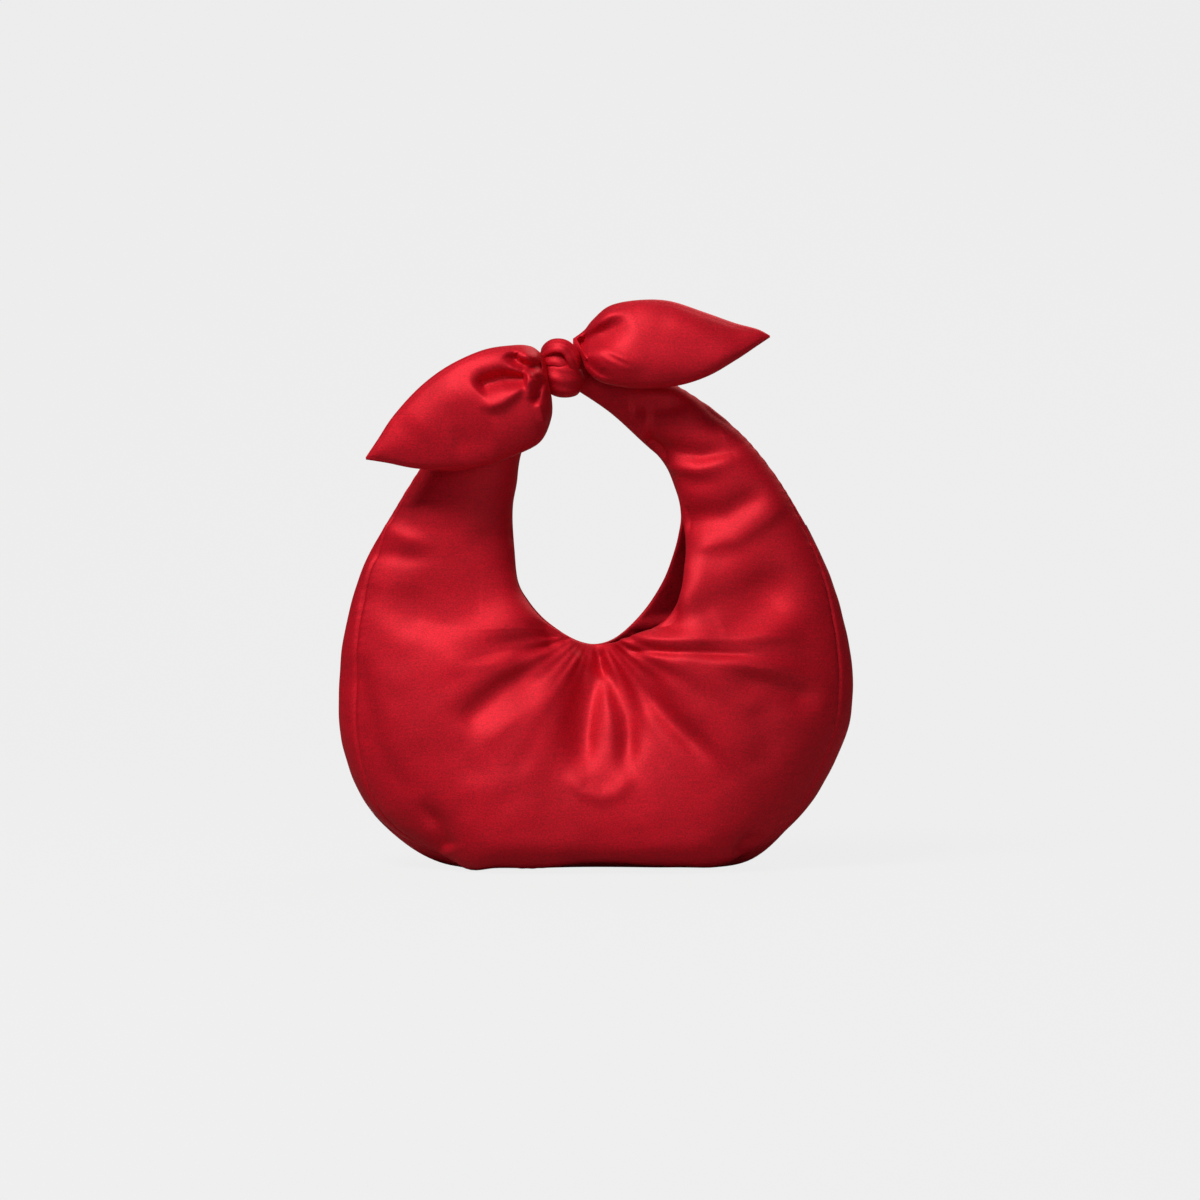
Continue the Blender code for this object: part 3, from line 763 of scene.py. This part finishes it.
weaveValues = {
    "threads": (700, 3300, 1),      # how often they come, per metre of cloth
    "slubs": (60, 900, 1),
    "grain": 950.0,                 # per metre of the object
    "cloud": 22.0,
    "slubShare": 0.4,
    "grainShare": 0.9,
    "tone": (0.7, 1.6, 0.56, 1.44),
    "cloudTone": (0.3, 0.7, 0.93, 1.06),
    "slubRoughness": 0.10,
}
satins = {
    "redSatin": {"colour": (0.57, 0.0003, 0.013), "roughness": 0.60, "metallic": 0.60, "bump": 0.7},
    "liningSatin": {"colour": (0.36, 0.004, 0.012), "roughness": 0.50, "metallic": 0.30, "bump": 0.4},
}
sheen = {
    "specular": 0.10,
    "specularTint": (1.0, 0.12, 0.18, 1),
    "coat": 0.42,
    "coatRoughness": 0.62,
    "bumpDistance": 0.12 * mm,
}
steelValues = {
    "colour": (0.62, 0.61, 0.60, 1),
    "grain": 900.0,
    "roughness": (0.2, 0.4),
}


def noiseNode(tree, place, scale, detail):
    noise = tree.nodes.new("ShaderNodeTexNoise")
    noise.inputs["Scale"].default_value = scale
    noise.inputs["Detail"].default_value = detail
    tree.links.new(place, noise.inputs["Vector"])
    return noise.outputs["Fac"]


def rangeNode(tree, value, fromMin, fromMax, toMin, toMax):
    node = tree.nodes.new("ShaderNodeMapRange")
    node.inputs["From Min"].default_value = fromMin
    node.inputs["From Max"].default_value = fromMax
    node.inputs["To Min"].default_value = toMin
    node.inputs["To Max"].default_value = toMax
    tree.links.new(value, node.inputs["Value"])
    return node.outputs["Result"]


# value times share, plus another value
def addShare(tree, value, share, other):
    node = tree.nodes.new("ShaderNodeMath")
    node.operation = "MULTIPLY_ADD"
    node.inputs[1].default_value = share
    tree.links.new(value, node.inputs[0])
    tree.links.new(other, node.inputs[2])
    return node.outputs[0]


def satinWeave():
    group = bpy.data.node_groups.new("satinWeave", "ShaderNodeTree")
    made = group.interface
    made.new_socket("Colour", in_out="INPUT", socket_type="NodeSocketColor").default_value = (0.5, 0.01, 0.02, 1)
    made.new_socket("Roughness", in_out="INPUT", socket_type="NodeSocketFloat").default_value = 0.38
    made.new_socket("Colour", in_out="OUTPUT", socket_type="NodeSocketColor")
    made.new_socket("Roughness", in_out="OUTPUT", socket_type="NodeSocketFloat")
    made.new_socket("Height", in_out="OUTPUT", socket_type="NodeSocketFloat")
    nodes, links = group.nodes, group.links
    start, end = nodes.new("NodeGroupInput"), nodes.new("NodeGroupOutput")
    place = nodes.new("ShaderNodeTexCoord").outputs["Object"]
    uv = nodes.new("ShaderNodeUVMap")
    uv.uv_map = "clothUv"

    def alongCloth(scale):
        mapping = nodes.new("ShaderNodeMapping")
        mapping.inputs["Scale"].default_value = scale
        links.new(uv.outputs["UV"], mapping.inputs["Vector"])
        return mapping.outputs["Vector"]

    fine = noiseNode(group, alongCloth(weaveValues["threads"]), 1.0, 2.0)
    slub = noiseNode(group, alongCloth(weaveValues["slubs"]), 1.0, 3.0)
    cloud = noiseNode(group, place, weaveValues["cloud"], 3.0)
    grain = noiseNode(group, place, weaveValues["grain"], 2.0)
    threads = addShare(group, slub, weaveValues["slubShare"], fine)
    relief = addShare(group, grain, weaveValues["grainShare"], threads)
    links.new(relief, end.inputs["Height"])
    both = nodes.new("ShaderNodeMath")
    both.operation = "MULTIPLY"
    links.new(rangeNode(group, relief, *weaveValues["tone"]), both.inputs[0])
    links.new(rangeNode(group, cloud, *weaveValues["cloudTone"]), both.inputs[1])
    shade = nodes.new("ShaderNodeVectorMath")
    shade.operation = "SCALE"
    links.new(start.outputs["Colour"], shade.inputs[0])
    links.new(both.outputs[0], shade.inputs["Scale"])
    links.new(shade.outputs["Vector"], end.inputs["Colour"])
    rough = addShare(group, slub, weaveValues["slubRoughness"], start.outputs["Roughness"])
    links.new(rough, end.inputs["Roughness"])
    return group


weave = satinWeave()


def satin(name):
    values = satins[name]
    made = bpy.data.materials.new(name)
    made.use_nodes = True
    nodes, links = made.node_tree.nodes, made.node_tree.links
    shader = nodes["Principled BSDF"]
    group = nodes.new("ShaderNodeGroup")
    group.node_tree = weave
    group.inputs["Colour"].default_value = (*values["colour"], 1)
    group.inputs["Roughness"].default_value = values["roughness"]
    bump = nodes.new("ShaderNodeBump")
    bump.inputs["Strength"].default_value = values["bump"]
    bump.inputs["Distance"].default_value = sheen["bumpDistance"]
    links.new(group.outputs["Colour"], shader.inputs["Base Color"])
    links.new(group.outputs["Roughness"], shader.inputs["Roughness"])
    links.new(group.outputs["Height"], bump.inputs["Height"])
    links.new(bump.outputs["Normal"], shader.inputs["Normal"])
    shader.inputs["Metallic"].default_value = values["metallic"]
    shader.inputs["Specular IOR Level"].default_value = sheen["specular"]
    shader.inputs["Specular Tint"].default_value = sheen["specularTint"]
    shader.inputs["Coat Weight"].default_value = sheen["coat"]
    shader.inputs["Coat Roughness"].default_value = sheen["coatRoughness"]
    return made


def snapSteel():
    made = bpy.data.materials.new("snapSteel")
    made.use_nodes = True
    tree = made.node_tree
    shader = tree.nodes["Principled BSDF"]
    shader.inputs["Base Color"].default_value = steelValues["colour"]
    shader.inputs["Metallic"].default_value = 1.0
    place = tree.nodes.new("ShaderNodeTexCoord").outputs["Object"]
    grain = noiseNode(tree, place, steelValues["grain"], 2.0)
    tree.links.new(rangeNode(tree, grain, 0.0, 1.0, *steelValues["roughness"]), shader.inputs["Roughness"])
    return made


redSatin, liningSatin, steel = satin("redSatin"), satin("liningSatin"), snapSteel()

# Each satin piece, the node that it stands for, and how tightly it is filled
satinPieces = (
    (frontPanel, "front_panel", 0.7),
    (backPanel, "back_panel", 0.7),
    (basePanel, "base_panel", 0.4),
    (leftStrap, "left_strap", 0.8),
    (rightStrap, "right_strap", 0.8),
    (leftTail, "left_tail", 0.6),
    (rightTail, "right_tail", 0.6),
    (knotWrap, "knot", 0.9),
)
for piece, node, fill in satinPieces:
    piece.data.materials.append(redSatin)
    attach(piece, "root")
    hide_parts(node)

lining.data.materials.append(liningSatin)
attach(lining, "root")
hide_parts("lining")

for name in ("front_snap", "back_snap"):
    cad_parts[name].data.materials.clear()
    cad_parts[name].data.materials.append(steel)
print("materials made")


# Floor, light and camera

# A roll of paper that lies under the bag and bends up behind it, in metres
paper = {
    "length": 9.0,
    "flatLength": 5.0,
    "front": 4.0,           # how far in front of the bag it starts
    "bend": 1.2,
    "halfWidth": 4.0,
    "rows": 48,
    "colour": (0.3, 0.3, 0.3, 1),
    "glow": (0.88, 0.88, 0.88, 1),
    "glowStrength": 1.045,
    "glowShare": 0.9,       # the rest is left to the paper, which takes the shadow
}
lamps = {
    "keyLight": {"place": (-0.92, -1.12, 2.05), "aim": (0, 0, 0.16), "size": (1.0, 0.8), "watts": 59},
    "frontLight": {"place": (1.1, -2.3, 0.5), "aim": (0, 0, 0.12), "size": (1.4, 1.0), "watts": 8},
    "backLight": {"place": (0.6, 1.4, 1.4), "aim": (0, 0, 0.2), "size": (1.2, 0.9), "watts": 12},
}
surroundings = {
    "light": 0.06,
    "seen": 0.88,
}


def backdropMaterial():
    made = bpy.data.materials.new("backdropPaper")
    made.use_nodes = True
    nodes, links = made.node_tree.nodes, made.node_tree.links
    nodes.clear()
    out = nodes.new("ShaderNodeOutputMaterial")
    matt = nodes.new("ShaderNodeBsdfDiffuse")
    matt.inputs["Color"].default_value = paper["colour"]
    glow = nodes.new("ShaderNodeEmission")
    glow.inputs["Color"].default_value = paper["glow"]
    glow.inputs["Strength"].default_value = paper["glowStrength"]
    path = nodes.new("ShaderNodeLightPath")
    share = nodes.new("ShaderNodeMath")
    share.operation = "MULTIPLY"
    share.inputs[1].default_value = paper["glowShare"]
    mix = nodes.new("ShaderNodeMixShader")
    links.new(path.outputs["Is Camera Ray"], share.inputs[0])
    links.new(share.outputs[0], mix.inputs["Fac"])
    links.new(matt.outputs[0], mix.inputs[1])
    links.new(glow.outputs[0], mix.inputs[2])
    links.new(mix.outputs[0], out.inputs["Surface"])
    return made


def makeBackdrop():
    flatLength, bend = paper["flatLength"], paper["bend"]
    bm = bmesh.new()
    bmesh.ops.create_grid(bm, x_segments=2, y_segments=paper["rows"], size=1)
    for vert in bm.verts:
        along = (vert.co.y + 1) / 2 * paper["length"]
        angle = min(max(along - flatLength, 0.0) / bend, math.pi / 2)
        y = min(along, flatLength) - paper["front"] + bend * math.sin(angle)
        z = bend * (1 - math.cos(angle)) + max(0.0, along - flatLength - bend * math.pi / 2)
        vert.co = (vert.co.x * paper["halfWidth"], y, z)
    mesh = bpy.data.meshes.new("backdrop")
    bm.to_mesh(mesh)
    bm.free()
    mesh.shade_smooth()
    floor = bpy.data.objects.new("backdrop", mesh)
    scene.collection.objects.link(floor)
    floor.data.materials.append(backdropMaterial())


def areaLight(name, lamp):
    light = bpy.data.lights.new(name, "AREA")
    light.shape = "RECTANGLE"
    light.size, light.size_y = lamp["size"]
    light.energy = lamp["watts"]
    made = bpy.data.objects.new(name, light)
    made.location = lamp["place"]
    made.rotation_euler = (Vector(lamp["aim"]) - Vector(lamp["place"])).to_track_quat("-Z", "Y").to_euler()
    scene.collection.objects.link(made)


makeBackdrop()
for name, lamp in lamps.items():
    areaLight(name, lamp)

world = bpy.data.worlds.new("studio")
world.use_nodes = True
scene.world = world
background = world.node_tree.nodes["Background"]
background.inputs["Color"].default_value = (1, 1, 1, 1)
seen = world.node_tree.nodes.new("ShaderNodeLightPath").outputs["Is Camera Ray"]
level = rangeNode(world.node_tree, seen, 0.0, 1.0, surroundings["light"], surroundings["seen"])
world.node_tree.links.new(level, background.inputs["Strength"])

cameraData = bpy.data.cameras.new("photoCamera")
cameraData.lens = view["lens"]
cameraData.sensor_width = view["sensor"]
cameraData.clip_end = 50
camera = bpy.data.objects.new("photoCamera", cameraData)
camera.location = cameraPlace
camera.rotation_euler = (Vector(view["middle"]) - cameraPlace).to_track_quat("-Z", "Y").to_euler()
scene.collection.objects.link(camera)
scene.camera = camera
scene.view_settings.view_transform = "Standard"
print("stage made")
